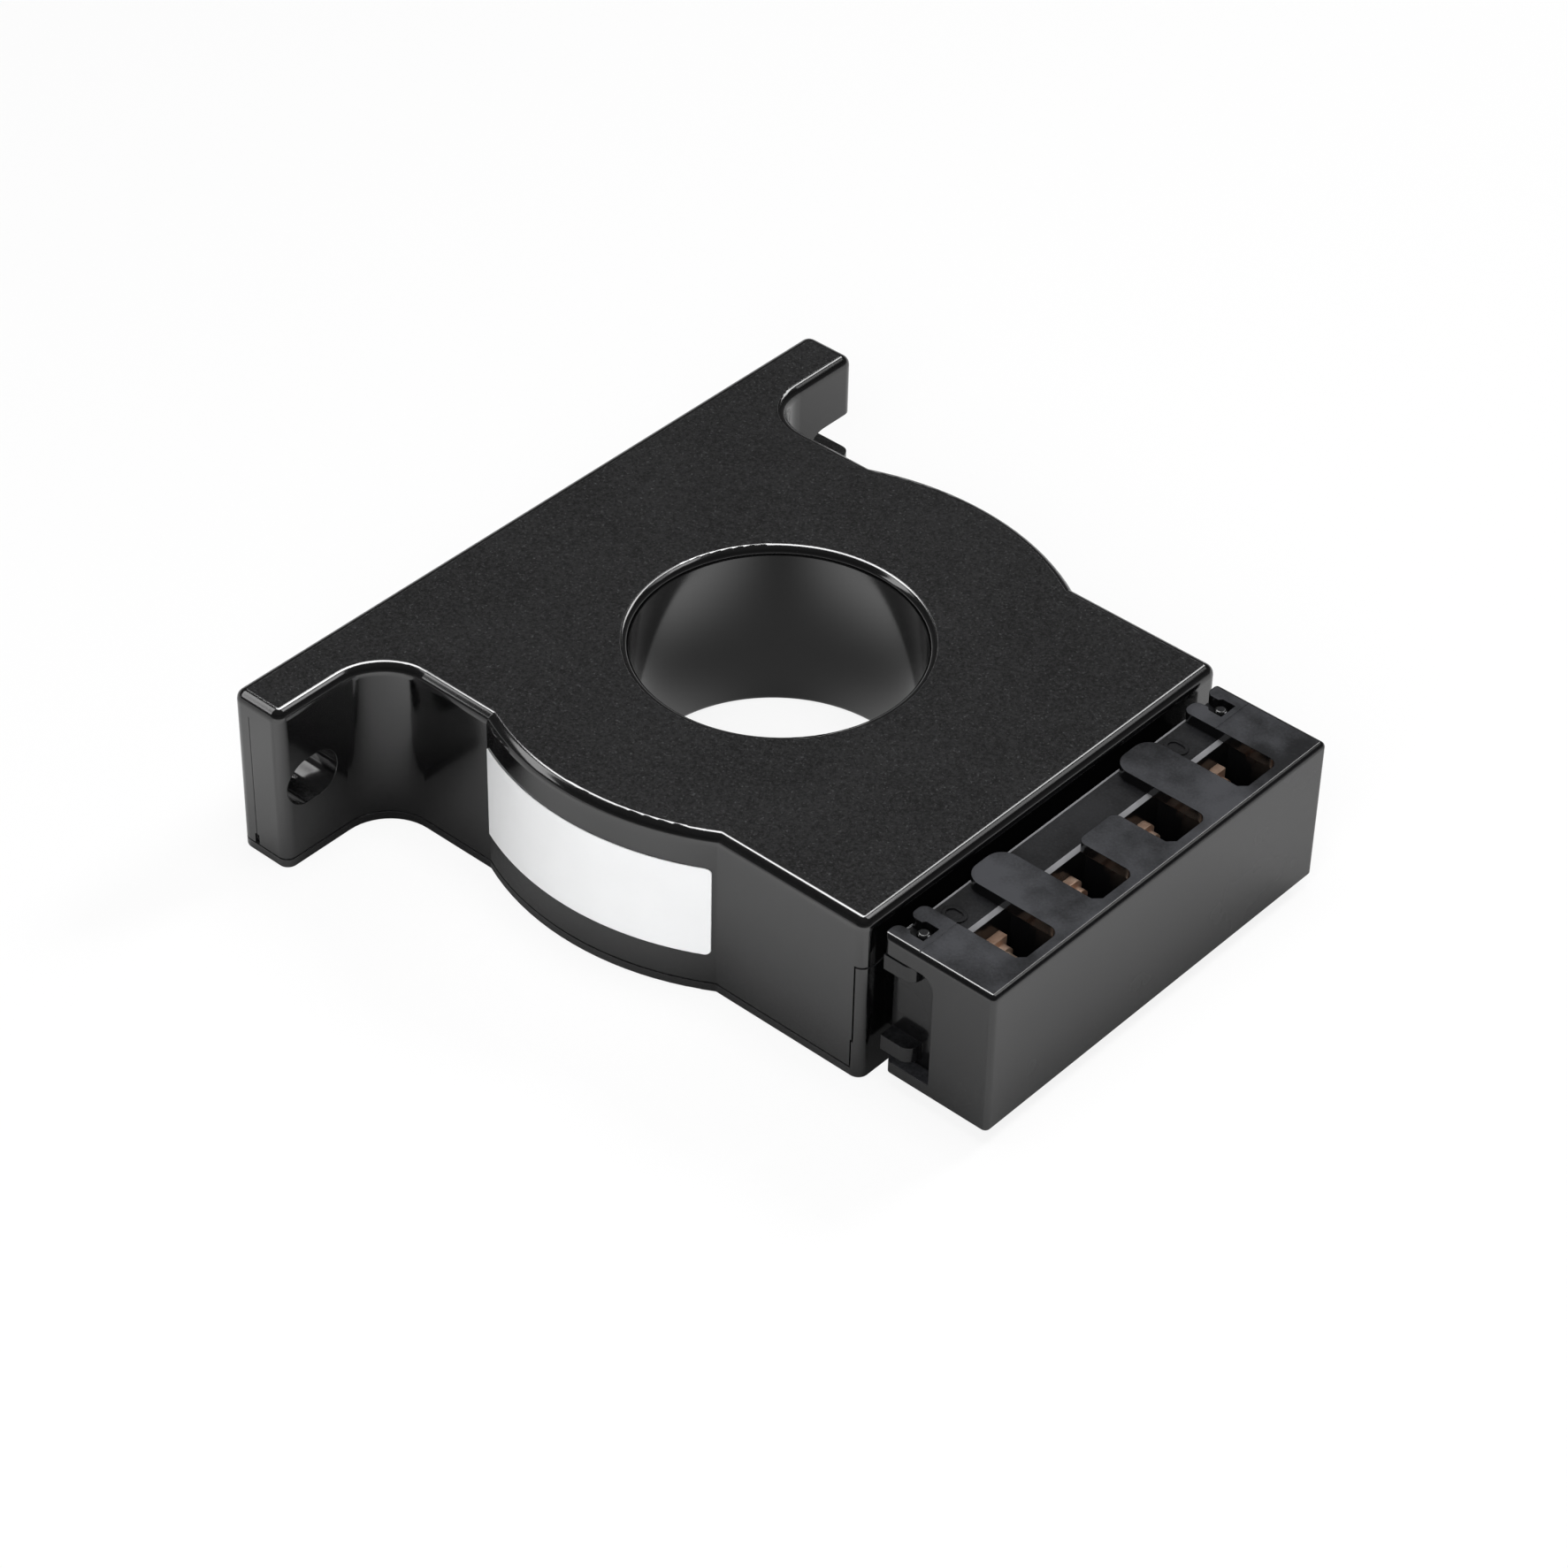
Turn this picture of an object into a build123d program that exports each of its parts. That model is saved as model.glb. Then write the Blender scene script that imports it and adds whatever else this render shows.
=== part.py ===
from build123d import *
import os
from math import sqrt

# Window current transformer with a slotted mounting foot and a covered row of screw terminals.
# Sizes are in millimetres. +X runs from the foot to the terminals, +Z along the through hole.
# The origin lies on the hole's axis, level with the underside.

# Through hole
bore_radius = 15.0
bore_edge_radius = 0.9
bore_foot_radius = 0.5
tube_wall = 1.5

# Housing
housing_height = 19.8
housing_wall = 1.6
roof_thickness = 1.8
box_side_margin = 1.3
neck_step = 1.8
round_bulge = 2.7
end_stand_off = 3.4
foot_stand_off = 2.6
neck_fillet = 5.4
corner_radius = 1.2
top_edge_radius = 1.1
fit_clearance = 0.1

# Mounting foot
foot_thickness = 6.6
slot_width = 5.4
slot_length = 6.7
slot_start_gap = 1.3
slot_end_wall = 0.7
parting_line_offset = 2.3
parting_line_width = 0.14
parting_line_depth = 0.08
gate_notch_width = 0.6
gate_notch_height = 1.2
gate_notch_depth = 0.3

# Base cover, closed against the shell along a fine seam
base_thickness = 1.1
bottom_edge_land = 0.8
seam_gap = 0.18
seam_depth = 0.5
lip_height = 1.8
lip_thickness = 1.0
lip_end_gap = 5.1
end_wall_thickness = 1.0
end_wall_height = 14.0
end_wall_step = 0.2
end_wall_step_height = 4.7
rest_ring_height = 1.3
rest_ring_inset = 1.0

# Wound core
core_side_room = 0.55
core_top_room = 1.1
core_tube_room = 0.9
case_wall = 0.6
case_overlap = 2.0
winding_thickness = 1.0
winding_corner = 0.8
tape_thickness = 0.35
tape_width = 5.0

# Terminal row
terminal_count = 4
terminal_width = 5.4
terminal_side_gap = 1.72
terminal_rise = 1.0
barrier_thickness = 2.4
end_barrier_thickness = 2.47

# Terminal cover
cover_gap = 1.1
cover_bottom = 1.9
cover_top_drop = 1.05
cover_roof = 1.2
cover_floor = 1.2
cover_side = 1.6
cover_end_wall = 1.2
cover_edge_radius = 0.6
cover_bottom_edge_radius = 0.2
cover_floor_setback = 1.0
cover_floor_corner_radius = 0.5
slide_clearance = 0.15
window_width = 5.6
window_end_margin = 1.6
window_corner_radius = 1.1
window_corner_chamfer = 0.75
finger_tip_flat = 1.64
middle_tip_radius = 0.9
side_cut_bottom_margin = 1.5
side_cut_top_margin = 2.15
side_cut_radius = 1.6
keyhole_inset = 1.15
keyhole_neck_width = 1.6
keyhole_wide_width = 2.3
keyhole_wide_start = 1.6
keyhole_wide_length = 1.8
keyhole_chamfer = 0.25
prong_tip_flat = 0.44
tab_line_gap = 0.7
tab_line_width = 0.12
tab_line_depth = 0.04

# Terminal block
block_gap = 1.2
block_edge_chamfer = 0.4
nut_backing = 1.9
barrier_end_gap = 0.3
neck_side_inset = 1.75
neck_bottom = 4.0
flange_thickness = 1.1
flange_margin = 1.0
arm_thickness = 1.8
arm_bottom_gap = 0.95
arm_top_gap = 0.25
arm_back_gap = 1.3
arm_tip_setback = 0.9
arm_tip_gap = 2.3
arm_tip_flat = 0.45
nib_radius = 0.7
nib_edge_radius = 0.3
nib_drop = 0.2
mark_length = 2.6
mark_width = 2.0
mark_line = 0.4
mark_height = 0.15
mark_inset = 2.1
mark_offset_y = 0.9

# Terminal hardware
plate_thickness = 1.0
plate_top_drop = 2.65
plate_corner_radius = 0.9
plate_hole_clearance = 0.3
tail_half_width = 1.5
tail_rise = 1.3
tail_reach = 1.0
washer_thickness = 0.8
washer_corner_radius = 0.9
washer_hole_clearance = 0.15
screw_head_overlap = 0.3
screw_head_height = 1.8
screw_head_edge = 0.55
screw_shank_radius = 1.5
screw_end_reach = 0.9
screw_end_chamfer = 0.4
screw_end_room = 0.4
screw_travel_room = 3.8
recess_length = 3.4
recess_width = 0.8
recess_depth = 1.1
nut_width = 5.2
nut_thickness = 2.6
thread_clearance = 0.05

# Lead wires
lead_radius = 0.5
lead_gap = 0.1

# Label
label_thickness = 0.12
label_bottom_margin = 4.9
label_top_margin = 4.0
label_start_margin = 0.1
label_end_margin = 0.4
label_corner_radius = 0.6
label_gap = 0.02

# Overrun of every cutting tool past the face that it cuts
cut = 1.0

# The terminal row's width, which sets the widths of the block, the cover and the housing
terminal_pitch = terminal_width + 2 * terminal_side_gap + barrier_thickness
terminal_ys = [(i - (terminal_count - 1) / 2) * terminal_pitch for i in range(terminal_count)]
end_terminal_ys = (terminal_ys[0], terminal_ys[-1])
last_y = terminal_ys[-1]
block_half_width = last_y + terminal_width / 2 + terminal_side_gap + end_barrier_thickness
cover_inner_half_width = block_half_width + slide_clearance
cover_half_width = cover_inner_half_width + cover_side
box_half_width = cover_half_width + box_side_margin
neck_half_width = box_half_width + neck_step
round_radius = neck_half_width + round_bulge

# The housing's other places
end_face_x = round_radius + end_stand_off
foot_face_x = -(round_radius + foot_stand_off)
foot_inner_x = foot_face_x + foot_thickness
slot_start_y = neck_half_width + neck_fillet + slot_start_gap
slot_centre_y = slot_start_y + slot_length / 2
slot_centre_z = housing_height / 2
foot_half_length = slot_start_y + slot_length + slot_end_wall
parting_line_x = foot_face_x + parting_line_offset
foot_kink_x = -sqrt(round_radius**2 - neck_half_width**2)
box_kink_x = sqrt(round_radius**2 - box_half_width**2)
bottom_edge_radius = base_thickness - bottom_edge_land
shell_bottom = base_thickness + seam_gap
cavity_top = housing_height - roof_thickness
cavity_radius = round_radius - housing_wall
cavity_half_width = box_half_width - housing_wall
cavity_end_x = end_face_x - housing_wall
tube_radius = bore_radius + tube_wall
wall_back_x = end_face_x - end_wall_thickness
lip_end_x = cavity_end_x - lip_end_gap

# Heights of the cover and the block
cover_top = housing_height - cover_top_drop
block_top = cover_top - cover_roof - slide_clearance
block_bottom = cover_bottom + cover_floor + slide_clearance
side_cut_bottom = cover_bottom + side_cut_bottom_margin
side_cut_top = cover_top - side_cut_top_margin
arm_low_z = side_cut_bottom + arm_bottom_gap + arm_thickness / 2
arm_high_z = side_cut_top - arm_top_gap - arm_thickness / 2
terminal_z = (block_bottom + block_top) / 2 + terminal_rise
nib_height = slide_clearance + cover_roof - nib_drop

# The block, the hardware on it and the cover over it, from the housing's end outwards
block_back_x = end_face_x + block_gap
nut_back_x = block_back_x + nut_backing + fit_clearance
nut_front_x = nut_back_x + nut_thickness
block_front_x = nut_front_x + fit_clearance
washer_back_x = block_front_x + plate_thickness
head_back_x = washer_back_x + washer_thickness
head_front_x = head_back_x + screw_head_height
shank_end_x = nut_back_x - screw_end_reach
cover_back_x = end_face_x + cover_gap
cover_floor_back_x = cover_back_x + cover_floor_setback
cover_inner_x = head_front_x + screw_travel_room
cover_front_x = cover_inner_x + cover_end_wall
cover_length = cover_front_x - cover_back_x
barrier_front_x = cover_inner_x - barrier_end_gap
window_end_x = cover_front_x - window_end_margin
arm_tip_x = block_front_x - arm_tip_setback
side_cut_end_x = arm_tip_x + arm_tip_gap
arm_tip_radius = cover_half_width - block_half_width - arm_tip_flat

inner_barrier_ys = [(i - terminal_count / 2) * terminal_pitch for i in range(1, terminal_count)]
end_barrier_y = block_half_width - end_barrier_thickness / 2

# Keyholes, and the fingers and prongs left between the windows and keyholes
keyhole_y = block_half_width - keyhole_inset
keyhole_start_x = cover_back_x + keyhole_wide_start
keyhole_end_x = keyhole_start_x + keyhole_wide_length
nib_x = (keyhole_start_x + keyhole_end_x) / 2
tab_line_x = keyhole_end_x + tab_line_gap
finger_half_width = (terminal_pitch - window_width) / 2
finger_tip_radius = finger_half_width - finger_tip_flat / 2
window_outer_y = last_y + window_width / 2
inner_prong_width = keyhole_y - keyhole_neck_width / 2 - window_outer_y
inner_prong_radius = (inner_prong_width - prong_tip_flat) / 2
outer_prong_start = keyhole_y + keyhole_neck_width / 2
outer_prong_width = cover_half_width - outer_prong_start
outer_prong_radius = (outer_prong_width - prong_tip_flat) / 2

# The block's neck and flange in the housing's end, and the plates' tails
neck_half_span = block_half_width - neck_side_inset
neck_top = end_wall_height - fit_clearance
flange_front_x = wall_back_x - end_wall_step - fit_clearance
flange_back_x = flange_front_x - flange_thickness
plate_top = block_top - plate_top_drop
tail_bottom = neck_bottom + tail_rise
tail_top = tail_bottom + plate_thickness
tail_z = (tail_bottom + tail_top) / 2
tail_end_x = flange_back_x - tail_reach

# Radii of the screws and their holes
screw_head_radius = terminal_width / 2 + screw_head_overlap
washer_hole_radius = screw_shank_radius + washer_hole_clearance
plate_hole_radius = screw_shank_radius + plate_hole_clearance
nut_hole_radius = screw_shank_radius + thread_clearance

# The wound core, resting on the base cover's ring inside the housing
winding_bottom = shell_bottom + rest_ring_height + fit_clearance
winding_top = cavity_top - core_top_room
case_bottom = winding_bottom + winding_thickness + fit_clearance
case_top = winding_top - winding_thickness - fit_clearance
core_bottom = case_bottom + case_wall
core_top = case_top - case_wall
core_centre_z = (core_bottom + core_top) / 2
winding_outer_radius = cavity_radius - core_side_room - tape_thickness
case_outer_radius = winding_outer_radius - winding_thickness - fit_clearance
core_outer_radius = case_outer_radius - case_wall - fit_clearance
winding_inner_radius = tube_radius + core_tube_room
case_inner_radius = winding_inner_radius + winding_thickness + fit_clearance
core_inner_radius = case_inner_radius + case_wall + fit_clearance

os.makedirs("parts", exist_ok=True)


def is_at(value, target):
    return abs(value - target) < 0.001


# Outline shared by the shell and the base cover
with BuildSketch() as outline:
    with BuildLine():
        Polyline(
            (foot_face_x, 0),
            (foot_face_x, foot_half_length),
            (foot_inner_x, foot_half_length),
            (foot_inner_x, neck_half_width),
            (foot_kink_x, neck_half_width),
        )
        ThreePointArc(
            (foot_kink_x, neck_half_width), (0, round_radius), (box_kink_x, box_half_width)
        )
        Polyline((box_kink_x, box_half_width), (end_face_x, box_half_width), (end_face_x, 0))
        mirror(about=Plane.XZ)
    make_face()
    foot_corners = outline.vertices().filter_by(lambda v: is_at(abs(v.Y), foot_half_length))
    end_corners = outline.vertices().filter_by(
        lambda v: is_at(v.X, end_face_x) and is_at(abs(v.Y), box_half_width)
    )
    fillet(foot_corners + end_corners, corner_radius)
    neck_corners = outline.vertices().filter_by(
        lambda v: is_at(v.X, foot_inner_x) and is_at(abs(v.Y), neck_half_width)
    )
    fillet(neck_corners, neck_fillet)

# Outline of the space inside, a round for the core joined to a box for the terminals
with BuildSketch() as cavity:
    Circle(cavity_radius)
    Rectangle(cavity_end_x, 2 * cavity_half_width, align=(Align.MIN, Align.CENTER))

# Housing shell
with BuildPart() as housing_shell:
    with BuildSketch(Plane.XY.offset(shell_bottom)):
        add(outline.sketch)
    extrude(amount=housing_height - shell_bottom)
    top_face = housing_shell.faces().sort_by(Axis.Z)[-1]
    fillet(top_face.outer_wire().edges(), top_edge_radius)

    with BuildSketch(Plane.XY.offset(shell_bottom)):
        add(cavity.sketch)
    extrude(amount=cavity_top - shell_bottom, mode=Mode.SUBTRACT)

    # Tube round the through hole, down to the underside
    with BuildSketch():
        Circle(tube_radius)
    extrude(amount=cavity_top)
    with BuildSketch():
        Circle(bore_radius)
    extrude(amount=housing_height, mode=Mode.SUBTRACT)
    bore_rims = housing_shell.edges().filter_by(GeomType.CIRCLE).filter_by(
        lambda e: is_at(e.radius, bore_radius)
    )
    fillet(bore_rims.sort_by(Axis.Z)[-1], bore_edge_radius)
    fillet(bore_rims.sort_by(Axis.Z)[0], bore_foot_radius)

    # The terminal end is open below the roof for the base cover's upright wall
    opening_top = end_wall_height + seam_gap
    with BuildSketch(Plane.XY.offset(shell_bottom)):
        with Locations((cavity_end_x - cut, 0)):
            Rectangle(housing_wall + 2 * cut, 2 * cavity_half_width, align=(Align.MIN, Align.CENTER))
        with Locations((wall_back_x - seam_gap, 0)):
            Rectangle(
                end_wall_thickness + cut, 2 * box_half_width + cut, align=(Align.MIN, Align.CENTER)
            )
    extrude(amount=opening_top - shell_bottom, mode=Mode.SUBTRACT)
    with BuildSketch(Plane.XY.offset(shell_bottom)):
        with Locations((wall_back_x - end_wall_step - seam_gap, 0)):
            Rectangle(
                end_wall_thickness + cut, 2 * box_half_width + cut, align=(Align.MIN, Align.CENTER)
            )
    extrude(amount=end_wall_step_height - shell_bottom, mode=Mode.SUBTRACT)

    # Closed slot in one ear and a slot open at its end in the other
    with BuildSketch(Plane.YZ.offset(foot_face_x - cut)):
        with Locations((-slot_centre_y, slot_centre_z), (slot_centre_y, slot_centre_z)):
            SlotOverall(slot_length, slot_width)
        with Locations((slot_centre_y, slot_centre_z)):
            Rectangle(
                foot_half_length - slot_centre_y + cut, slot_width, align=(Align.MIN, Align.CENTER)
            )
    extrude(amount=foot_thickness + 2 * cut, mode=Mode.SUBTRACT)

    # Parting line and gate notch on the end of the closed ear
    with BuildSketch(Plane.XY.offset(shell_bottom)):
        with Locations((parting_line_x, -foot_half_length)):
            Rectangle(parting_line_width, 2 * parting_line_depth)
    extrude(amount=housing_height - 2 * top_edge_radius - shell_bottom, mode=Mode.SUBTRACT)
    with BuildSketch(Plane.XY.offset(shell_bottom)):
        with Locations((parting_line_x, -foot_half_length)):
            Rectangle(gate_notch_width, 2 * gate_notch_depth)
    extrude(amount=gate_notch_height, mode=Mode.SUBTRACT)

housing_shell.part.label = "housing_shell"
export_step(housing_shell.part, "parts/housing_shell.step")

# Base cover
with BuildPart() as base_cover:
    with BuildSketch():
        add(outline.sketch)
    extrude(amount=base_thickness)
    bottom_face = base_cover.faces().sort_by(Axis.Z)[0]
    fillet(bottom_face.outer_wire().edges(), bottom_edge_radius)

    # Ledge that carries the shell and leaves the seam open
    with BuildSketch(Plane.XY.offset(base_thickness)):
        add(outline.sketch)
        offset(amount=-seam_depth, mode=Mode.REPLACE)
    extrude(amount=seam_gap)

    # Lip that locates the shell from inside
    with BuildSketch(Plane.XY.offset(shell_bottom)):
        add(cavity.sketch)
        offset(amount=-fit_clearance, mode=Mode.REPLACE)
        offset(amount=-lip_thickness, mode=Mode.SUBTRACT)
        with Locations((lip_end_x, 0)):
            Rectangle(
                end_face_x, 2 * box_half_width, align=(Align.MIN, Align.CENTER), mode=Mode.SUBTRACT
            )
    extrude(amount=lip_height)

    # Ring that the wound core rests on
    with BuildSketch(Plane.XY.offset(shell_bottom)):
        Circle(core_outer_radius - rest_ring_inset)
        Circle(core_inner_radius + rest_ring_inset, mode=Mode.SUBTRACT)
    extrude(amount=rest_ring_height)

    # Upright wall that closes the terminal end, a little thicker low down
    with BuildSketch(Plane.XY.offset(base_thickness)):
        add(outline.sketch)
        with Locations((wall_back_x, 0)):
            Rectangle(
                end_wall_thickness,
                2 * box_half_width,
                align=(Align.MIN, Align.CENTER),
                mode=Mode.INTERSECT,
            )
    extrude(amount=end_wall_height - base_thickness)
    with BuildSketch(Plane.XY.offset(base_thickness)):
        add(outline.sketch)
        with Locations((wall_back_x - end_wall_step, 0)):
            Rectangle(
                end_wall_thickness + end_wall_step,
                2 * box_half_width,
                align=(Align.MIN, Align.CENTER),
                mode=Mode.INTERSECT,
            )
    extrude(amount=end_wall_step_height - seam_gap - base_thickness)

    # Holes for the shell's tube and for the terminal block's neck
    with BuildSketch():
        Circle(tube_radius + fit_clearance)
    extrude(amount=end_wall_height, mode=Mode.SUBTRACT)
    with BuildSketch(Plane.XY.offset(neck_bottom)):
        with Locations((wall_back_x - end_wall_step - cut, 0)):
            Rectangle(
                end_wall_thickness + end_wall_step + 2 * cut,
                2 * (neck_half_span + fit_clearance),
                align=(Align.MIN, Align.CENTER),
            )
    extrude(amount=end_wall_height, mode=Mode.SUBTRACT)

base_cover.part.label = "base_cover"
export_step(base_cover.part, "parts/base_cover.step")

# Ring core
with BuildPart() as ring_core:
    with BuildSketch(Plane.XY.offset(core_bottom)):
        Circle(core_outer_radius)
        Circle(core_inner_radius, mode=Mode.SUBTRACT)
    extrude(amount=core_top - core_bottom)

ring_core.part.label = "ring_core"
export_step(ring_core.part, "parts/ring_core.step")

# Lower half of the core's case, a round trough
with BuildPart() as core_case_lower:
    with BuildSketch(Plane.XY.offset(case_bottom)):
        Circle(case_outer_radius)
        Circle(case_inner_radius, mode=Mode.SUBTRACT)
    extrude(amount=core_top - case_overlap - case_bottom)
    with BuildSketch(Plane.XY.offset(core_bottom)):
        Circle(core_outer_radius + fit_clearance)
        Circle(core_inner_radius - fit_clearance, mode=Mode.SUBTRACT)
    extrude(amount=core_top - core_bottom, mode=Mode.SUBTRACT)

core_case_lower.part.label = "core_case_lower"
export_step(core_case_lower.part, "parts/core_case_lower.step")

# Upper half of the core's case, a shallow trough turned over
with BuildPart() as core_case_upper:
    with BuildSketch(Plane.XY.offset(core_top - case_overlap + fit_clearance)):
        Circle(case_outer_radius)
        Circle(case_inner_radius, mode=Mode.SUBTRACT)
    extrude(amount=case_overlap - fit_clearance + case_wall)
    with BuildSketch(Plane.XY.offset(core_top - case_overlap)):
        Circle(core_outer_radius + fit_clearance)
        Circle(core_inner_radius - fit_clearance, mode=Mode.SUBTRACT)
    extrude(amount=case_overlap, mode=Mode.SUBTRACT)

core_case_upper.part.label = "core_case_upper"
export_step(core_case_upper.part, "parts/core_case_upper.step")

# Secondary winding, all round the cased core
with BuildPart() as secondary_winding:
    with BuildSketch(Plane.XZ) as winding_section:
        with Locations(((winding_inner_radius + winding_outer_radius) / 2, core_centre_z)):
            Rectangle(winding_outer_radius - winding_inner_radius, winding_top - winding_bottom)
        chamfer(winding_section.vertices(), winding_corner)
        with Locations(((case_inner_radius + case_outer_radius) / 2, core_centre_z)):
            Rectangle(
                case_outer_radius - case_inner_radius + 2 * fit_clearance,
                case_top - case_bottom + 2 * fit_clearance,
                mode=Mode.SUBTRACT,
            )
    revolve(axis=Axis.Z)

secondary_winding.part.label = "secondary_winding"
export_step(secondary_winding.part, "parts/secondary_winding.step")

# Tape band round the winding
with BuildPart() as winding_tape:
    with BuildSketch(Plane.XY.offset(core_centre_z - tape_width / 2)):
        Circle(winding_outer_radius + tape_thickness)
        Circle(winding_outer_radius, mode=Mode.SUBTRACT)
    extrude(amount=tape_width)

winding_tape.part.label = "winding_tape"
export_step(winding_tape.part, "parts/winding_tape.step")

# Terminal block
with BuildPart() as terminal_block:
    with BuildSketch(Plane.XY.offset(block_bottom)):
        with Locations((block_back_x, 0)):
            Rectangle(
                block_front_x - block_back_x, 2 * block_half_width, align=(Align.MIN, Align.CENTER)
            )
        with Locations([(block_front_x, barrier_y) for barrier_y in inner_barrier_ys]):
            Rectangle(
                barrier_front_x - block_front_x, barrier_thickness, align=(Align.MIN, Align.CENTER)
            )
        with Locations((block_front_x, -end_barrier_y), (block_front_x, end_barrier_y)):
            Rectangle(
                barrier_front_x - block_front_x,
                end_barrier_thickness,
                align=(Align.MIN, Align.CENTER),
            )
    extrude(amount=block_top - block_bottom)
    front_edges = terminal_block.edges().filter_by(Axis.Y).filter_by(
        lambda e: is_at(e.center().X, block_front_x) and is_at(e.center().Z, block_top)
    )
    chamfer(front_edges, block_edge_chamfer)

    # Neck through the housing's end and the flange behind it
    with BuildSketch(Plane.XY.offset(neck_bottom)):
        with Locations((flange_back_x, 0)):
            Rectangle(
                block_back_x - flange_back_x, 2 * neck_half_span, align=(Align.MIN, Align.CENTER)
            )
    extrude(amount=neck_top - neck_bottom)
    with BuildSketch(Plane.XY.offset(neck_bottom - flange_margin)):
        with Locations((flange_back_x, 0)):
            Rectangle(
                flange_thickness,
                2 * (neck_half_span + flange_margin),
                align=(Align.MIN, Align.CENTER),
            )
    extrude(amount=neck_top - neck_bottom + flange_margin)

    # Side arms that the cover slides over
    for arm_z in (arm_low_z, arm_high_z):
        with BuildSketch(Plane.XY.offset(arm_z - arm_thickness / 2)) as arm:
            with Locations((end_face_x + arm_back_gap, block_half_width - cut)):
                Rectangle(
                    arm_tip_x - end_face_x - arm_back_gap,
                    cover_half_width - block_half_width + cut,
                    align=(Align.MIN, Align.MIN),
                )
            fillet(arm.vertices().sort_by(Axis.X)[-2:].sort_by(Axis.Y)[-1], arm_tip_radius)
            mirror(about=Plane.XZ)
        extrude(amount=arm_thickness)

    # Guide nibs for the cover's keyholes
    with BuildSketch(Plane.XY.offset(block_top)):
        with Locations((nib_x, -keyhole_y), (nib_x, keyhole_y)):
            Circle(nib_radius)
    extrude(amount=nib_height)
    nib_tops = terminal_block.faces().sort_by(Axis.Z)[-2:]
    fillet(nib_tops.edges(), nib_edge_radius)

    # Raised outlines beside the two end terminals
    with BuildSketch(Plane.XY.offset(block_top)):
        with Locations([(block_back_x + mark_inset, y - mark_offset_y) for y in end_terminal_ys]):
            SlotOverall(mark_length, mark_width)
            SlotOverall(mark_length - 2 * mark_line, mark_width - 2 * mark_line, mode=Mode.SUBTRACT)
    extrude(amount=mark_height)

    # Pockets for the nuts, holes for the screw ends and slits for the tails
    with BuildSketch(Plane.YZ.offset(block_front_x)):
        with Locations([(terminal_y, terminal_z) for terminal_y in terminal_ys]):
            Rectangle(nut_width + 2 * fit_clearance, nut_width + 2 * fit_clearance)
    extrude(amount=nut_back_x - fit_clearance - block_front_x, mode=Mode.SUBTRACT)
    with BuildSketch(Plane.YZ.offset(block_front_x)):
        with Locations([(terminal_y, terminal_z) for terminal_y in terminal_ys]):
            Circle(plate_hole_radius)
    extrude(amount=shank_end_x - screw_end_room - block_front_x, mode=Mode.SUBTRACT)
    with BuildSketch(Plane.YZ.offset(flange_back_x - cut)):
        with Locations([(terminal_y, tail_z) for terminal_y in terminal_ys]):
            Rectangle(2 * (tail_half_width + fit_clearance), plate_thickness + 2 * fit_clearance)
    extrude(amount=block_front_x - flange_back_x + cut, mode=Mode.SUBTRACT)

terminal_block.part.label = "terminal_block"
export_step(terminal_block.part, "parts/terminal_block.step")

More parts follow.
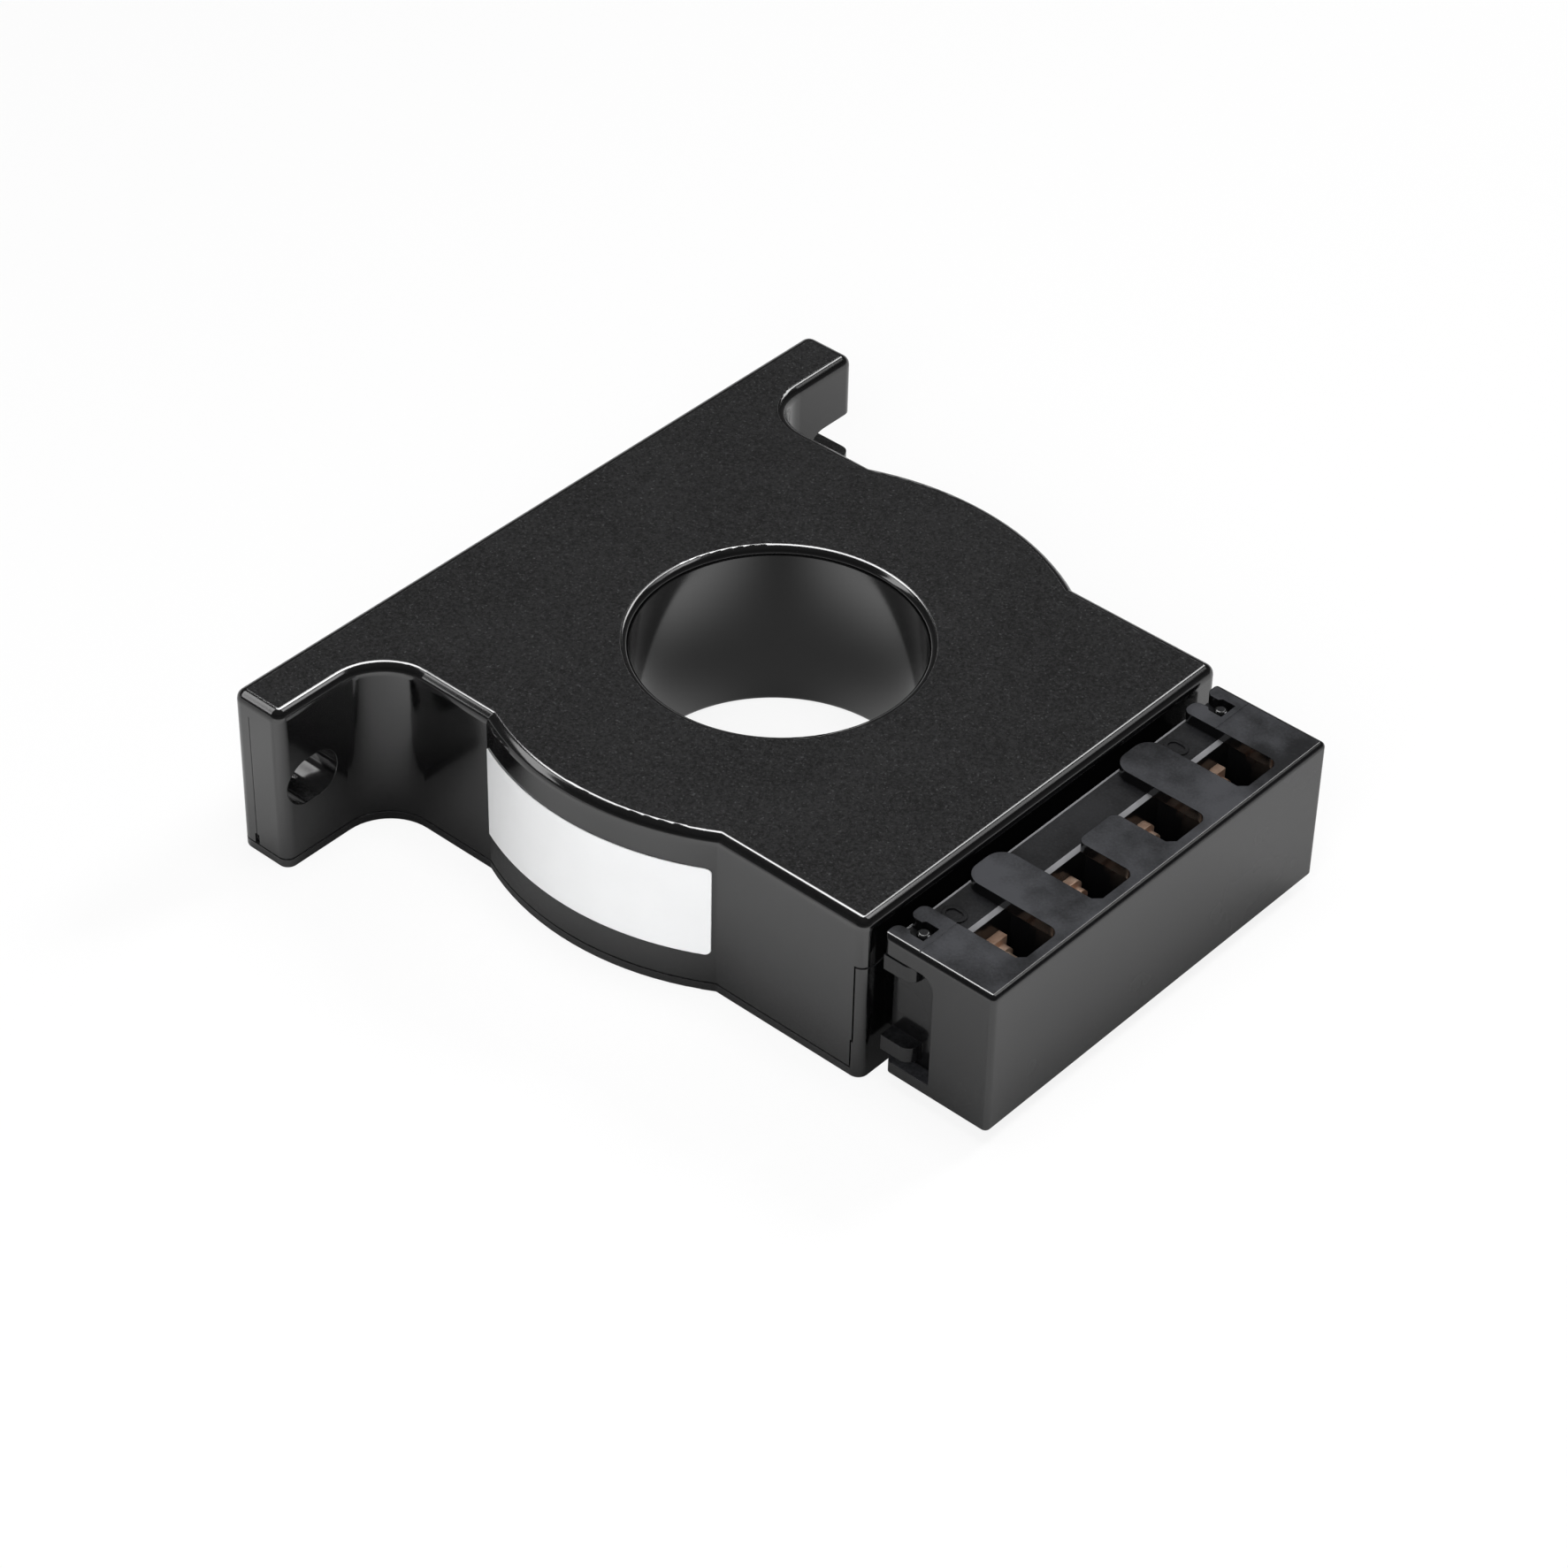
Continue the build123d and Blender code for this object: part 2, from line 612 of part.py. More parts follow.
# Terminal cover, a cap with a comb of wire windows in its top
with BuildPart() as terminal_cover:
    with BuildSketch(Plane.XY.offset(cover_bottom)):
        with Locations((cover_back_x, 0)):
            Rectangle(cover_length, 2 * cover_half_width, align=(Align.MIN, Align.CENTER))
    extrude(amount=cover_top - cover_bottom)
    outer_edges = terminal_cover.edges().filter_by(
        lambda e: not is_at(e.center().X, cover_back_x) and not is_at(e.center().Z, cover_bottom)
    )
    fillet(outer_edges, cover_edge_radius)
    with BuildSketch(Plane.XY.offset(cover_bottom + cover_floor)):
        with Locations((cover_back_x - cut, 0)):
            Rectangle(
                cover_inner_x - cover_back_x + cut,
                2 * cover_inner_half_width,
                align=(Align.MIN, Align.CENTER),
            )
    extrude(amount=cover_top - cover_roof - cover_bottom - cover_floor, mode=Mode.SUBTRACT)

    # Wire windows, each with one corner rounded and one cut off, and the shortened middle finger
    window_reach = window_end_x - cover_back_x + cut
    with BuildSketch(Plane.XY.offset(cover_top + cut)) as windows:
        with Locations([(window_end_x - window_reach / 2, window_y) for window_y in terminal_ys]):
            Rectangle(window_reach, window_width)
        window_ends = windows.vertices().filter_by(lambda v: is_at(v.X, window_end_x))
        fillet(window_ends.sort_by(Axis.Y)[1::2], window_corner_radius)
        window_ends = windows.vertices().filter_by(lambda v: is_at(v.X, window_end_x))
        chamfer(window_ends.sort_by(Axis.Y)[::2], window_corner_chamfer)
        with Locations((cover_back_x - cut, 0)):
            Rectangle(
                block_front_x - cover_back_x + cut,
                2 * finger_half_width + cut,
                align=(Align.MIN, Align.CENTER),
            )
    extrude(amount=-(cover_roof + 2 * cut), mode=Mode.SUBTRACT)

    # Keyholes over the block's nibs
    with BuildSketch(Plane.XY.offset(cover_top + cut)) as keyholes:
        with Locations((keyhole_start_x, keyhole_y)):
            Rectangle(keyhole_wide_length, keyhole_wide_width, align=(Align.MIN, Align.CENTER))
        chamfer(keyholes.vertices().sort_by(Axis.X)[:2], keyhole_chamfer)
        with Locations((cover_back_x - cut, keyhole_y)):
            Rectangle(
                keyhole_end_x - cover_back_x + cut,
                keyhole_neck_width,
                align=(Align.MIN, Align.CENTER),
            )
        mirror(about=Plane.XZ)
    extrude(amount=-(cover_roof + 2 * cut), mode=Mode.SUBTRACT)

    # Rounded tips of the fingers and prongs
    tip_edges = terminal_cover.edges().filter_by(Axis.Z).filter_by(
        lambda e: e.center().Z > block_top
    )
    broad_tips = tip_edges.filter_by(
        lambda e: is_at(e.center().X, cover_back_x) and abs(e.center().Y) < last_y
    )
    fillet(broad_tips, finger_tip_radius)
    middle_tips = terminal_cover.edges().filter_by(Axis.Z).filter_by(
        lambda e: is_at(e.center().X, block_front_x) and is_at(abs(e.center().Y), finger_half_width)
    )
    fillet(middle_tips, middle_tip_radius)
    prong_tips = terminal_cover.edges().filter_by(Axis.Z).filter_by(
        lambda e: is_at(e.center().X, cover_back_x)
        and e.center().Z > block_top
        and last_y < abs(e.center().Y) < keyhole_y
    )
    fillet(prong_tips, inner_prong_radius)
    with BuildSketch(Plane.XY.offset(side_cut_top)):
        with Locations((cover_back_x - cut, outer_prong_start)):
            Rectangle(
                outer_prong_radius + cut, outer_prong_width + cut, align=(Align.MIN, Align.MIN)
            )
        with Locations((cover_back_x, outer_prong_start)):
            RectangleRounded(
                cover_length,
                outer_prong_width,
                outer_prong_radius,
                align=(Align.MIN, Align.MIN),
                mode=Mode.SUBTRACT,
            )
        mirror(about=Plane.XZ)
    extrude(amount=cover_top - side_cut_top, mode=Mode.SUBTRACT)

    # Side openings over the block's arms
    with BuildSketch(Plane.XZ) as side_cut:
        with Locations((cover_back_x - cut, side_cut_bottom)):
            Rectangle(
                side_cut_end_x - cover_back_x + cut,
                side_cut_top - side_cut_bottom,
                align=(Align.MIN, Align.MIN),
            )
        fillet(side_cut.vertices().sort_by(Axis.X)[-2:].sort_by(Axis.Y)[-1], side_cut_radius)
    extrude(amount=cover_half_width + cut, both=True, mode=Mode.SUBTRACT)

    # The floor starts a little further out than the sides, with rounded corners
    with BuildSketch(Plane.XZ):
        with Locations((cover_back_x - cut, cover_bottom - cut)):
            Rectangle(
                cover_floor_setback + cut,
                side_cut_bottom_margin + 2 * cut,
                align=(Align.MIN, Align.MIN),
            )
    extrude(amount=cover_half_width + cut, both=True, mode=Mode.SUBTRACT)
    floor_corners = terminal_cover.edges().filter_by(Axis.Z).filter_by(
        lambda e: is_at(e.center().X, cover_floor_back_x) and is_at(abs(e.center().Y), cover_half_width)
    )
    fillet(floor_corners, cover_floor_corner_radius)
    bottom_face = terminal_cover.faces().sort_by(Axis.Z)[0]
    fillet(bottom_face.outer_wire().edges(), cover_bottom_edge_radius)

    # Fine line across each end tab
    with BuildSketch(Plane.XY.offset(cover_top - tab_line_depth)):
        with Locations((tab_line_x, cover_half_width)):
            Rectangle(
                tab_line_width, cover_half_width - window_outer_y, align=(Align.CENTER, Align.MAX)
            )
        mirror(about=Plane.XZ)
    extrude(amount=cut, mode=Mode.SUBTRACT)

terminal_cover.part.label = "terminal_cover"
export_step(terminal_cover.part, "parts/terminal_cover.step")

# Terminal hardware, one set for each terminal
for number, terminal_y in enumerate(terminal_ys, start=1):
    with BuildPart() as terminal_plate:
        with BuildSketch(Plane.YZ.offset(block_front_x)) as plate_face:
            with Locations((terminal_y, (tail_bottom + plate_top) / 2)):
                Rectangle(terminal_width, plate_top - tail_bottom)
            fillet(plate_face.vertices().sort_by(Axis.Z)[-2:], plate_corner_radius)
            with Locations((terminal_y, terminal_z)):
                Circle(plate_hole_radius, mode=Mode.SUBTRACT)
        extrude(amount=plate_thickness)
        with BuildSketch(Plane.YZ.offset(tail_end_x)):
            with Locations((terminal_y, tail_z)):
                Rectangle(2 * tail_half_width, plate_thickness)
        extrude(amount=block_front_x - tail_end_x)

    terminal_plate.part.label = f"terminal_plate_{number}"
    export_step(terminal_plate.part, f"parts/terminal_plate_{number}.step")

    with BuildPart() as terminal_nut:
        with BuildSketch(Plane.YZ.offset(nut_back_x)):
            with Locations((terminal_y, terminal_z)):
                Rectangle(nut_width, nut_width)
                Circle(nut_hole_radius, mode=Mode.SUBTRACT)
        extrude(amount=nut_thickness)

    terminal_nut.part.label = f"terminal_nut_{number}"
    export_step(terminal_nut.part, f"parts/terminal_nut_{number}.step")

    with BuildPart() as clamp_washer:
        with BuildSketch(Plane.YZ.offset(washer_back_x)):
            with Locations((terminal_y, terminal_z)):
                RectangleRounded(terminal_width, terminal_width, washer_corner_radius)
                Circle(washer_hole_radius, mode=Mode.SUBTRACT)
        extrude(amount=washer_thickness)

    clamp_washer.part.label = f"clamp_washer_{number}"
    export_step(clamp_washer.part, f"parts/clamp_washer_{number}.step")

    with BuildPart() as terminal_screw:
        with BuildSketch(Plane.YZ.offset(head_back_x)):
            with Locations((terminal_y, terminal_z)):
                Circle(screw_head_radius)
        extrude(amount=screw_head_height)
        fillet(terminal_screw.edges().sort_by(Axis.X)[-1], screw_head_edge)
        with BuildSketch(Plane.YZ.offset(head_back_x)):
            with Locations((terminal_y, terminal_z)):
                Circle(screw_shank_radius)
        extrude(amount=shank_end_x - head_back_x)
        chamfer(terminal_screw.edges().sort_by(Axis.X)[0], screw_end_chamfer)
        with BuildSketch(Plane.YZ.offset(head_front_x)):
            with Locations((terminal_y, terminal_z)):
                Rectangle(recess_length, recess_width)
                Rectangle(recess_width, recess_length)
        extrude(amount=-recess_depth, mode=Mode.SUBTRACT)

    terminal_screw.part.label = f"terminal_screw_{number}"
    export_step(terminal_screw.part, f"parts/terminal_screw_{number}.step")

# Lead wires from the winding to the tails
for number, terminal_y in enumerate(terminal_ys, start=1):
    lead_reach = winding_outer_radius + lead_gap
    lead_start_x = sqrt(lead_reach**2 - (abs(terminal_y) - lead_radius) ** 2)
    with BuildPart() as lead_wire:
        with BuildSketch(Plane.YZ.offset(lead_start_x)):
            with Locations((terminal_y, tail_z)):
                Circle(lead_radius)
        extrude(amount=tail_end_x - lead_start_x)

    lead_wire.part.label = f"lead_wire_{number}"
    export_step(lead_wire.part, f"parts/lead_wire_{number}.step")

# Label on the round of the housing
label_inner_radius = round_radius + label_gap
label_outer_radius = label_inner_radius + label_thickness
label_start_x = foot_kink_x + label_start_margin
label_end_x = box_kink_x - label_end_margin
label_top = housing_height - label_top_margin
with BuildPart() as label:
    with BuildSketch(Plane.XY.offset(label_bottom_margin)):
        Circle(label_outer_radius)
        Circle(label_inner_radius, mode=Mode.SUBTRACT)
    extrude(amount=label_top - label_bottom_margin)
    with BuildSketch(Plane.XZ) as label_face:
        with Locations((label_start_x, label_bottom_margin)):
            Rectangle(
                label_end_x - label_start_x,
                label_top - label_bottom_margin,
                align=(Align.MIN, Align.MIN),
            )
        fillet(label_face.vertices().sort_by(Axis.X)[-2:], label_corner_radius)
    extrude(amount=label_outer_radius + cut, mode=Mode.INTERSECT)

label.part.label = "label"
export_step(label.part, "parts/label.step")
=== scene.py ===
import bpy
from mathutils import Matrix, Vector


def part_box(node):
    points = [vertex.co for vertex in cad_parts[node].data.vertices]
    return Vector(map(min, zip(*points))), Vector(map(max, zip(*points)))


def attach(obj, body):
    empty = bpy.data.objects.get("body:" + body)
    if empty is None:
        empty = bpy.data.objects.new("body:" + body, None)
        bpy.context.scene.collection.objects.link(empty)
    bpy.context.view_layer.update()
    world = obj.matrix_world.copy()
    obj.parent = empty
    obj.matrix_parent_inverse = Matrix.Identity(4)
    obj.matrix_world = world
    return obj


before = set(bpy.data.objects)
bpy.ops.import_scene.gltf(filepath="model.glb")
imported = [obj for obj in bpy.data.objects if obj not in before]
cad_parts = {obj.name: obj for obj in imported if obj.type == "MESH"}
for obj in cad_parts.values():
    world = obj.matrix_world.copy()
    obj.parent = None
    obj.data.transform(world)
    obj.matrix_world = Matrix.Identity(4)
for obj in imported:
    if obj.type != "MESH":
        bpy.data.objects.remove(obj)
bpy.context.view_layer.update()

# Camera, in metres
CAMERA_PLACE = (0.234586, -0.269542, 0.298570)
CAMERA_RIGHT = Vector((0.74579848, 0.66592591, 0.01809183))
CAMERA_UP = Vector((-0.43667611, 0.46818177, 0.76819255))
CAMERA_BACK = Vector((0.50308906, -0.58081711, 0.63996319))
CAMERA_REACH = (0.01, 50.0)
SENSOR_MM = 36.0
LENS_MM = 104.22

# Bead along the top of the terminal block, measured from the block's inner end
BLOCK_TOP = 0.0174
BEAD_START = 0.00365
BEAD_WIDTH = 0.0002
BEAD_TOP_WIDTH = 0.00006
BEAD_HEIGHT = 0.0001
BEAD_SUNK = 0.00005
BEAD_END_GAP = 0.003

# How far a face's normal rises where it starts to look up, and where it fully does
UP_START, UP_FULL = 0.993, 0.9998

# How closely a face's normal matches the block's chamfer where its painted highlight starts, and
# is full
CHAMFER_WAY = (0.7071, 0.0, 0.7071)
CHAMFER_START, CHAMFER_FULL = 0.97, 0.995

# Radius by which the renderer softens sharp edges, on mouldings and metal and on thin pieces
EDGE_SOFTNESS = 0.00012
FINE_EDGE_SOFTNESS = 0.0001

# Tones shared by the black mouldings: painted glints on the grain, painted highlight on chamfers
GLINT_COLOUR = (0.09, 0.09, 0.093)
# Pale tone of the painted highlight on the block's chamfer
CHAMFER_HIGHLIGHT_COLOUR = (0.33, 0.33, 0.343)

# Turns of wire round the ring, and the core's strip as a wave in radians a metre, 0.3 mm a strip
WIRE_TURNS = 170.0
STRIP_WAVE = 21000.0

# Between these a noise has most of its values
NOISE_LOW, NOISE_HIGH = 0.3, 0.7

FLOOR_HALF = 4.0
FLOOR_LEVEL = -0.00002

# Share of plain white in the floor, as seen by the camera and in a gloss
FLOOR_WHITE_SEEN = 0.85
FLOOR_WHITE_IN_GLOSS = 0.05

# Shade on the floor: reach of the contact shadow, and how open to the sky a shaded and an
# unshaded place are
CONTACT_REACH = 0.035
OPEN_SHADED, OPEN_CLEAR = 0.35, 0.98

# Light on the floor inside the through hole: its edge, and its rise from the middle to the sides
HOLE_LIGHT_EDGE = (0.0155, 0.017)
HOLE_SIDE = 0.015
HOLE_SIDEWAYS = (0.755, 0.655)
HOLE_LIGHT = (0.16, 1.3)

# Height in the sky, from the horizon at 0 to straight up at 1, and the tone there
SKY_TONES = [(0.0, 0.95), (0.05, 0.85), (0.14, 0.12), (0.6, 0.05), (1.0, 0.1)]

LAMP_TARGET = (0.005, 0.0, 0.01)
X_WAY, Y_WAY = (1.0, 0.0, 0.0), (0.0, 1.0, 0.0)
DOWN_LEFT = (0.0, -0.856, -0.516)

# Soft lamps that light the object: name, place, way of the length, length, width and watts
SOFT_LAMPS = [
    ("overhead", (0.05, -0.04, 0.68), X_WAY, 0.4, 0.4, 2.4),
    ("front", (0.3, -0.5, 0.42), X_WAY, 0.4, 0.4, 3.4),
    ("back_right", (0.12, 0.5, 0.48), X_WAY, 0.16, 0.16, 1.7),
]

# Lamps that show only in glosses, as the pale lines and bands on rounded edges
GLOSS_LAMPS = [
    ("left_strip", (-0.31, 0.245, 0.6), X_WAY, 0.26, 0.22, 1.8),
    ("back_strip", (-0.22, 0.44, 0.58), Y_WAY, 0.36, 0.14, 1.0),
    ("ear_panel", (0.07, 0.31, 0.58), X_WAY, 0.26, 0.12, 0.24),
    ("end_panel", (0.12, 0.44, 0.58), X_WAY, 0.3, 0.12, 0.12),
    ("left_panel", (-0.475, -0.25, 0.47), DOWN_LEFT, 0.66, 0.15, 0.85),
]


class Shader:
    """A material's node tree, with short calls to add nodes and join them."""

    def __init__(self, name):
        self.material = bpy.data.materials.new(name)
        self.material.use_nodes = True
        self.tree = self.material.node_tree
        self.bsdf = self.tree.nodes["Principled BSDF"]
        self.coords = self.add("ShaderNodeTexCoord").outputs["Object"]

    def add(self, kind, inputs=None, **settings):
        node = self.tree.nodes.new(kind)
        for key, value in settings.items():
            setattr(node, key, value)
        for key, value in (inputs or {}).items():
            self.put(node.inputs[key], value)
        return node

    def put(self, socket, value):
        if isinstance(value, bpy.types.NodeSocket):
            self.tree.links.new(value, socket)
        else:
            socket.default_value = value

    def set(self, **values):
        for key, value in values.items():
            self.put(self.bsdf.inputs[key.replace("_", " ")], value)

    def noise(self, scale, detail=2.0, rough=0.5, coords=None):
        inputs = {"Vector": coords or self.coords, "Scale": scale}
        inputs.update({"Detail": detail, "Roughness": rough})
        return self.add("ShaderNodeTexNoise", inputs).outputs["Fac"]

    def ramp(self, value, low, high, out_low=0.0, out_high=1.0, smooth=False):
        inputs = {"Value": value, "From Min": low, "From Max": high}
        inputs.update({"To Min": out_low, "To Max": out_high})
        blending = "SMOOTHSTEP" if smooth else "LINEAR"
        node = self.add("ShaderNodeMapRange", inputs, interpolation_type=blending)
        return node.outputs["Result"]

    def spread(self, noise, low, high):
        """A noise with its usual values stretched over low to high."""
        return self.ramp(noise, NOISE_LOW, NOISE_HIGH, low, high)

    def math(self, operation, first, second=0.0):
        node = self.add("ShaderNodeMath", {0: first, 1: second}, operation=operation)
        return node.outputs[0]

    def mixed(self, kind, factor, first, second):
        node = self.add("ShaderNodeMix", data_type=kind)
        for socket, value in (("Factor", factor), ("A", first), ("B", second)):
            self.put(node.inputs[socket], value)
        return node.outputs["Result"]

    def mix(self, factor, first, second):
        return self.mixed("RGBA", factor, rgba(first), rgba(second))

    def blend(self, factor, first, second):
        return self.mixed("FLOAT", factor, first, second)

    def soft_edges(self, radius):
        return self.add("ShaderNodeBevel", {"Radius": radius}, samples=6).outputs["Normal"]

    def bump(self, height, distance, strength=1.0, normal=None):
        inputs = {"Height": height, "Distance": distance, "Strength": strength}
        if normal is not None:
            inputs["Normal"] = normal
        return self.add("ShaderNodeBump", inputs).outputs["Normal"]

    def axis(self, letter):
        return self.add("ShaderNodeSeparateXYZ", {"Vector": self.coords}).outputs[letter]

    def squares(self, first, second):
        """Sum of two squares."""
        first = self.math("MULTIPLY", first, first)
        return self.math("ADD", first, self.math("MULTIPLY", second, second))

    def facing_up(self):
        normal = self.add("ShaderNodeNewGeometry").outputs["Normal"]
        height = self.add("ShaderNodeSeparateXYZ", {"Vector": normal}).outputs["Z"]
        return self.ramp(height, UP_START, UP_FULL, smooth=True)

    def on_chamfer(self):
        normal = self.add("ShaderNodeNewGeometry").outputs["Normal"]
        ways = {0: normal, 1: CHAMFER_WAY}
        match = self.add("ShaderNodeVectorMath", ways, operation="DOT_PRODUCT").outputs["Value"]
        return self.ramp(match, CHAMFER_START, CHAMFER_FULL)


def rgba(value):
    if isinstance(value, tuple) and len(value) == 3:
        return (*value, 1.0)
    return value


def scaled(colour, factor):
    return tuple(value * factor for value in colour)


def paint(material, *nodes):
    """Gives CAD nodes a material in place of their plain one."""
    for name in nodes:
        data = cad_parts[name].data
        data.materials.clear()
        data.materials.append(material)


def numbered(name):
    return [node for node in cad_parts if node.startswith(name)]


def moulded_plastic(name, dark, light, side_rough, top_rough, grain, speck, gloss, chamfer_highlight=0.0):
    """Black moulding: polished sides, and a fine matt grain on faces that look up.

    grain is the share of fine mottling, speck the strength of its painted glints, gloss the
    weight of the clear coat on the sides, and the last how pale a painted highlight makes a
    chamfer.
    """
    s = Shader(name)
    top = s.facing_up()
    cloud = s.noise(90.0, 3.0, 0.6)
    mottle = s.noise(3000.0, 5.0, 0.8)
    pores = s.noise(3600.0, 2.0, 0.6)
    side_colour = s.mix(cloud, dark, scaled(dark, 1.4))
    soft_share = s.math("MULTIPLY", cloud, 1.0 - grain)
    shade = s.math("ADD", soft_share, s.math("MULTIPLY", mottle, grain))
    top_colour = s.mix(s.ramp(shade, 0.42, 0.58), scaled(light, 0.2), light)
    # Pale specks on faces that look up are painted glints on the grain
    glint_specks = s.math("MULTIPLY", s.ramp(pores, 0.6, 0.76), speck)
    top_colour = s.mix(glint_specks, top_colour, GLINT_COLOUR)
    rough_side = s.spread(cloud, side_rough - 0.04, side_rough + 0.04)
    rough_top = s.spread(mottle, top_rough - 0.08, top_rough + 0.08)
    depth = s.blend(top, grain * 0.03, grain)
    normal = s.bump(mottle, 0.00006, depth, s.soft_edges(EDGE_SOFTNESS))
    colour = s.mix(top, side_colour, top_colour)
    # The pale chamfer is a painted highlight, where light catches the block's ledge
    if chamfer_highlight:
        colour = s.mix(s.math("MULTIPLY", s.on_chamfer(), chamfer_highlight), colour, CHAMFER_HIGHLIGHT_COLOUR)
    s.set(Base_Color=colour, IOR=1.15, Roughness=s.blend(top, rough_side, rough_top))
    s.set(Coat_Weight=s.blend(top, gloss, 0.0), Coat_Roughness=0.1, Coat_IOR=1.8)
    s.set(Normal=normal, Coat_Normal=normal)
    return s.material


def copper(name, bright, dull, rough):
    """Copper with patches of tarnish and fine scratches."""
    s = Shader(name)
    tarnish = s.noise(650.0, 3.0, 0.6)
    scratches = s.noise(6000.0, 2.0, 0.5)
    s.set(Base_Color=s.mix(s.ramp(tarnish, 0.3, 0.75), bright, dull), Metallic=0.6)
    s.set(Roughness=s.spread(tarnish, rough, rough + 0.16))
    s.set(Normal=s.bump(scratches, 0.00002, 0.3, s.soft_edges(EDGE_SOFTNESS)))
    return s.material


def label_film(name):
    s = Shader(name)
    fibre = s.noise(2600.0, 3.0, 0.6)
    shade = s.noise(140.0, 2.0, 0.5)
    s.set(Base_Color=s.mix(shade, (0.84, 0.845, 0.85), (0.78, 0.785, 0.79)))
    s.set(Roughness=s.spread(fibre, 0.32, 0.42))
    s.set(Normal=s.bump(fibre, 0.00001, 0.25, s.soft_edges(FINE_EDGE_SOFTNESS)))
    return s.material


def wound_copper(name):
    """Turns of enamelled wire side by side round the ring."""
    s = Shader(name)
    angle = s.math("ARCTAN2", s.axis("Y"), s.axis("X"))
    turns = s.math("SINE", s.math("MULTIPLY", angle, WIRE_TURNS))
    stain = s.noise(260.0, 3.0, 0.6)
    colour = s.mix(stain, (0.50, 0.16, 0.06), (0.66, 0.27, 0.11))
    # The dark lines between the turns are painted shade in the grooves
    s.set(Base_Color=s.mix(s.ramp(turns, -1.0, -0.6), (0.10, 0.03, 0.015), colour))
    s.set(Metallic=0.85, Roughness=s.spread(stain, 0.22, 0.32))
    s.set(Normal=s.bump(turns, 0.0002, 0.7))
    return s.material


def strip_core(name):
    """Edges of the steel strip, one ring inside the next."""
    s = Shader(name)
    radius = s.math("SQRT", s.squares(s.axis("X"), s.axis("Y")))
    layers = s.math("SINE", s.math("MULTIPLY", radius, STRIP_WAVE))
    rust = s.noise(420.0, 4.0, 0.65)
    s.set(Base_Color=s.mix(s.ramp(rust, 0.35, 0.75), (0.42, 0.43, 0.45), (0.24, 0.23, 0.22)))
    s.set(Metallic=0.9, Roughness=s.spread(rust, 0.32, 0.5))
    s.set(Normal=s.bump(layers, 0.00006, 0.5))
    return s.material


def plain_moulding(name, first, second, rough):
    """Plastic with a faint mottle between two tones."""
    s = Shader(name)
    mottle = s.noise(700.0, 3.0, 0.6)
    s.set(Base_Color=s.mix(mottle, first, second))
    s.set(Roughness=s.spread(mottle, rough - 0.05, rough + 0.05))
    s.set(Normal=s.bump(s.noise(4000.0), 0.00002, 0.3, s.soft_edges(FINE_EDGE_SOFTNESS)))
    return s.material


def brushed_steel(name):
    s = Shader(name)
    stretched = s.add("ShaderNodeMapping", {"Vector": s.coords, "Scale": (0.08, 1.0, 1.0)})
    lines = s.noise(5000.0, 3.0, 0.6, stretched.outputs["Vector"])
    s.set(Base_Color=s.mix(lines, (0.56, 0.56, 0.57), (0.42, 0.42, 0.43)), Metallic=1.0)
    s.set(Roughness=s.spread(lines, 0.25, 0.4), Normal=s.bump(lines, 0.00002, 0.3))
    return s.material


def finish_nodes():
    """Every CAD node gets its material."""
    housing = moulded_plastic(
        "housing_plastic",
        dark=(0.0016, 0.0016, 0.0017),
        light=(0.022, 0.022, 0.0226),
        side_rough=0.2,
        top_rough=0.55,
        grain=0.9,
        speck=0.6,
        gloss=1.0,
    )
    cover = moulded_plastic(
        "cover_plastic",
        dark=(0.002, 0.002, 0.0022),
        light=(0.05, 0.0512, 0.0565),
        side_rough=0.3,
        top_rough=0.55,
        grain=0.2,
        speck=0.15,
        gloss=0.7,
    )
    block = moulded_plastic(
        "block_plastic",
        dark=(0.004, 0.004, 0.0043),
        light=(0.016, 0.0162, 0.0177),
        side_rough=0.3,
        top_rough=0.5,
        grain=0.4,
        speck=0.1,
        gloss=0.5,
        chamfer_highlight=0.8,
    )
    plates = copper("plate_copper", (0.93, 0.69, 0.54), (0.5, 0.28, 0.18), 0.34)
    screws = copper("screw_copper", (0.95, 0.77, 0.62), (0.58, 0.35, 0.23), 0.25)
    case = plain_moulding("case_plastic", (0.62, 0.6, 0.54), (0.56, 0.54, 0.48), 0.45)
    tape = plain_moulding("winding_tape", (0.72, 0.58, 0.16), (0.66, 0.52, 0.12), 0.3)
    leads = plain_moulding("lead_insulation", (0.02, 0.02, 0.022), (0.03, 0.03, 0.032), 0.4)
    paint(housing, "housing_shell", "base_cover")
    paint(cover, "terminal_cover")
    paint(block, "terminal_block")
    paint(plates, *numbered("terminal_plate"), *numbered("clamp_washer"))
    paint(screws, *numbered("terminal_screw"))
    paint(brushed_steel("nut_steel"), *numbered("terminal_nut"))
    paint(label_film("label_film"), "label")
    paint(wound_copper("winding_wire"), "secondary_winding")
    paint(strip_core("core_strip"), "ring_core")
    paint(case, "core_case_lower", "core_case_upper")
    paint(tape, "winding_tape")
    paint(leads, *numbered("lead_wire"))


